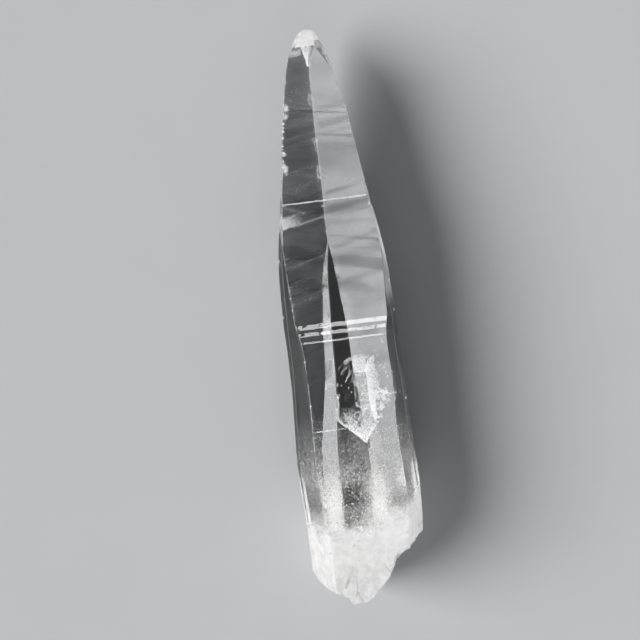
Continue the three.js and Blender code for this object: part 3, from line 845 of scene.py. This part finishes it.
mesh.materials.append(quartz_material())
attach(crystal, "root")
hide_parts("quartz_point")
veil_piece = veil.piece(grain_material("milky_veil", (0.80, 0.80, 0.81, 1), (0.97, 0.97, 0.97, 1)))
mend_piece = mend.piece(grain_material("healed_break", (0.80, 0.80, 0.81, 1), (0.97, 0.97, 0.97, 1)))
# the growth lines and the painted light bands on the lower left face share this white grain material
silk_and_painted_light_piece = silk_and_painted_light.piece(grain_material("growth_lines_and_painted_light", (0.70, 0.70, 0.71, 1), (0.92, 0.92, 0.93, 1)))
haze_piece = haze.piece(grain_material("milky_haze", (0.80, 0.795, 0.79, 1), (0.97, 0.965, 0.96, 1)))
cloud_piece = cloud.piece(grain_material("milky_cloud", (0.78, 0.775, 0.77, 1), (0.96, 0.955, 0.95, 1)))

# --------------------------------------------------------------------------
# Floor, lights, camera
# --------------------------------------------------------------------------
fm = bpy.data.meshes.new("floor")
fm.from_pydata([(-6, -6, -.0001), (6, -6, -.0001), (6, 6, -.0001), (-6, 6, -.0001)], [], [(0, 1, 2, 3)])
floor = bpy.data.objects.new("floor", fm)
bpy.context.collection.objects.link(floor)
k = Nodes("pale_floor")
p = k.new("ShaderNodeBsdfPrincipled")
at = k.new("ShaderNodeTexCoord").outputs["Object"]
k.put(p.inputs["Base Color"], k.mix_rgb(k.tex(at, 40, 4, 0.6), (0.63, 0.635, 0.64, 1), (0.66, 0.665, 0.67, 1)))
p.inputs["Roughness"].default_value = 0.9
p.inputs["Specular IOR Level"].default_value = 0.15
k.put(k.out.inputs["Surface"], p.outputs[0])
fm.materials.append(k.mat)


def area(name, at, look, size, watts, colour=(1, 1, 1)):
    lamp = bpy.data.lights.new(name, "AREA")
    lamp.shape = "RECTANGLE"
    lamp.size, lamp.size_y = size
    lamp.energy = watts
    lamp.color = colour
    return aimed(lamp, at, look)


def aimed(lamp, at, look):
    """Put a lamp at a place, looking at a point."""
    o = bpy.data.objects.new(lamp.name, lamp)
    bpy.context.collection.objects.link(o)
    z = np.array(at, float) - np.array(look, float)
    z /= np.linalg.norm(z)
    x = np.cross((0, 0, 1.0), z)
    x /= np.linalg.norm(x)
    y = np.cross(z, x)
    m = np.eye(4)
    m[:3, 0], m[:3, 1], m[:3, 2], m[:3, 3] = x, y, z, at
    o.matrix_world = Matrix(m.tolist())
    return o


key = bpy.data.lights.new("key_left", "SUN")
key.energy, key.angle = 3.15, math.radians(40)
aimed(key, (-1.32, 0.24, 1.04), (0, 0, 0.02)).visible_transmission = False
area("overhead", (0.0, -0.38, 0.70), (0, -0.02, 0.02), (0.46, 0.52), 0.30).visible_glossy = False

# Two lamps that only the crystal takes: one beyond the tip that its step lines mirror, one on its shaded side.
skin = bpy.data.collections.new("skin")
skin.objects.link(crystal)
for lamp in (area("beyond_tip", (0.02, 0.43, 0.47), (0, 0.02, 0.02), (0.10, 0.24), 0.72),
             area("shaded_side", (0.48, -0.06, 0.17), (0, -0.02, 0.02), (0.24, 0.40), 1.8)):
    lamp.light_linking.receiver_collection = skin
    lamp.visible_transmission = False
lamp.visible_glossy = False

# Light that reaches the inclusions through the clear skin: only they take it.
sealed = bpy.data.collections.new("sealed_in")
for o in (veil_piece, mend_piece, silk_and_painted_light_piece, cloud_piece, haze_piece):
    sealed.objects.link(o)
for lamp in (area("key_inside", (-0.44, 0.08, 0.36), (0, 0, 0.02), (0.30, 0.40), 2.3),
             area("top_inside", (0.05, 0.10, 0.60), (0, 0, 0.02), (0.40, 0.40), 1.4),
             area("under_inside", (-0.06, -0.06, -0.50), (0, 0, 0.02), (0.40, 0.40), 1.0),
             area("right_inside", (0.46, -0.12, 0.16), (0, 0, 0.02), (0.40, 0.40), 1.2)):
    lamp.light_linking.receiver_collection = sealed
    lamp.data.use_shadow = False
    lamp.data.cycles.use_multiple_importance_sampling = False

world = bpy.data.worlds.new("studio")
bpy.context.scene.world = world
world.use_nodes = True
world.node_tree.nodes["Background"].inputs["Color"].default_value = (0.5, 0.51, 0.53, 1)
world.node_tree.nodes["Background"].inputs["Strength"].default_value = 0.30

tau, roll = math.radians(12.0), math.radians(7.3)
back = np.array([0, math.sin(tau), math.cos(tau)])
up = np.array([0, math.cos(tau), -math.sin(tau)])
right = np.array([1.0, 0, 0])
cam_data = bpy.data.cameras.new("camera")
cam_data.lens = 75
cam_data.sensor_width = 36
cam_data.clip_start = 0.01
camera = bpy.data.objects.new("camera", cam_data)
m = np.eye(4)
m[:3, 0] = math.cos(roll) * right - math.sin(roll) * up
m[:3, 1] = math.sin(roll) * right + math.cos(roll) * up
m[:3, 2] = back
m[:3, 3] = to_row(-6.8134, 184.0275, 426.6313)
camera.matrix_world = Matrix(m.tolist())
bpy.context.collection.objects.link(camera)
scene = bpy.context.scene
scene.camera = camera

scene.cycles.max_bounces = 32
scene.cycles.glossy_bounces = 24
scene.cycles.transmission_bounces = 32
scene.cycles.diffuse_bounces = 4
scene.cycles.transparent_max_bounces = 16
scene.cycles.caustics_reflective = False
scene.cycles.caustics_refractive = False
scene.cycles.sample_clamp_indirect = 6.0
scene.view_settings.view_transform = "Standard"
